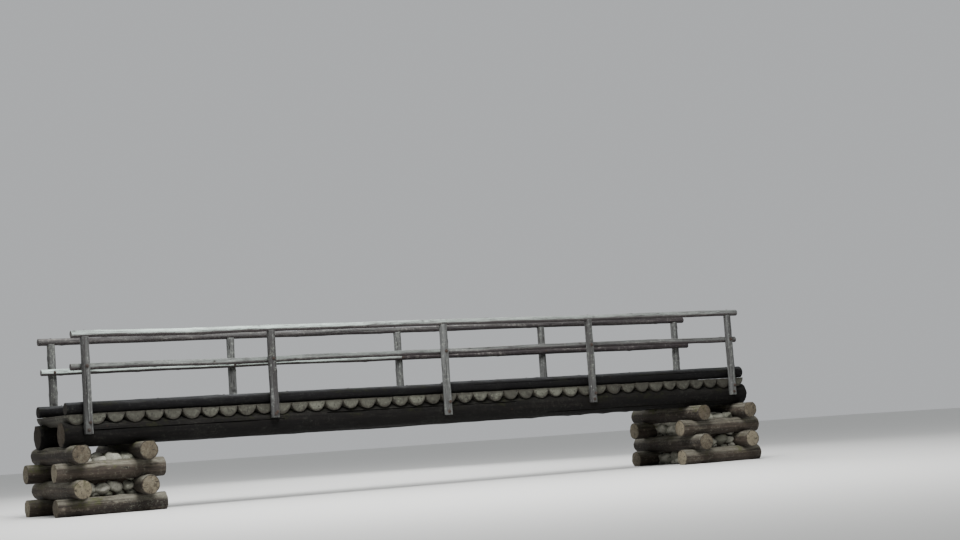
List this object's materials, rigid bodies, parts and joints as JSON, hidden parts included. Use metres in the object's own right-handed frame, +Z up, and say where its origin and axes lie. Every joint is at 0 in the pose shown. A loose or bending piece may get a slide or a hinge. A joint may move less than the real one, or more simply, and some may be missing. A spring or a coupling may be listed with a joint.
{
  "type": "log footbridge",
  "caption": "Rustic log footbridge with a half-log deck on two log stringers, round pole railings, kerb logs and stone-filled log cribs.",
  "frame": {"origin": "on the floor, under the middle of the bridge", "axes": "+X along the bridge to the right as seen from the near side, +Y across it to the far side, +Z up"},
  "size_m": [11.352, 1.79, 2.367],
  "materials": {
    "post_wood": "peeled pole, weathered grey",
    "rail_wood": "peeled pole, bleached pale on its upper side",
    "kerb_wood": "damp, nearly black log",
    "deck_wood": "split half logs, worn and mottled",
    "stringer_wood": "old damp log, nearly black",
    "crib_wood": "old damp log",
    "fill_stone": "rough river stone"
  },
  "bodies": {
    "root": {"crib_left_course_1": "crib_wood", "crib_left_course_2": "crib_wood", "crib_left_course_3": "crib_wood", "crib_left_course_4": "crib_wood", "crib_left_fill": "fill_stone", "crib_right_course_1": "crib_wood", "crib_right_course_2": "crib_wood", "crib_right_course_3": "crib_wood", "crib_right_course_4": "crib_wood", "crib_right_fill": "fill_stone", "deck_bay_1": "deck_wood", "deck_bay_2": "deck_wood", "deck_bay_3": "deck_wood", "deck_bay_4": "deck_wood", "handrail_far_left": "rail_wood", "handrail_far_right": "rail_wood", "handrail_near_left": "rail_wood", "handrail_near_right": "rail_wood", "kerb_far_left": "kerb_wood", "kerb_far_right": "kerb_wood", "kerb_near_left": "kerb_wood", "kerb_near_right": "kerb_wood", "middle_rail_far_left": "rail_wood", "middle_rail_far_right": "rail_wood", "middle_rail_near_left": "rail_wood", "middle_rail_near_right": "rail_wood", "post_far_1": "post_wood", "post_far_2": "post_wood", "post_far_3": "post_wood", "post_far_4": "post_wood", "post_far_5": "post_wood", "post_near_1": "post_wood", "post_near_2": "post_wood", "post_near_3": "post_wood", "post_near_4": "post_wood", "post_near_5": "post_wood", "stringer_far": "stringer_wood", "stringer_near": "stringer_wood"}
  },
  "joints": []
}
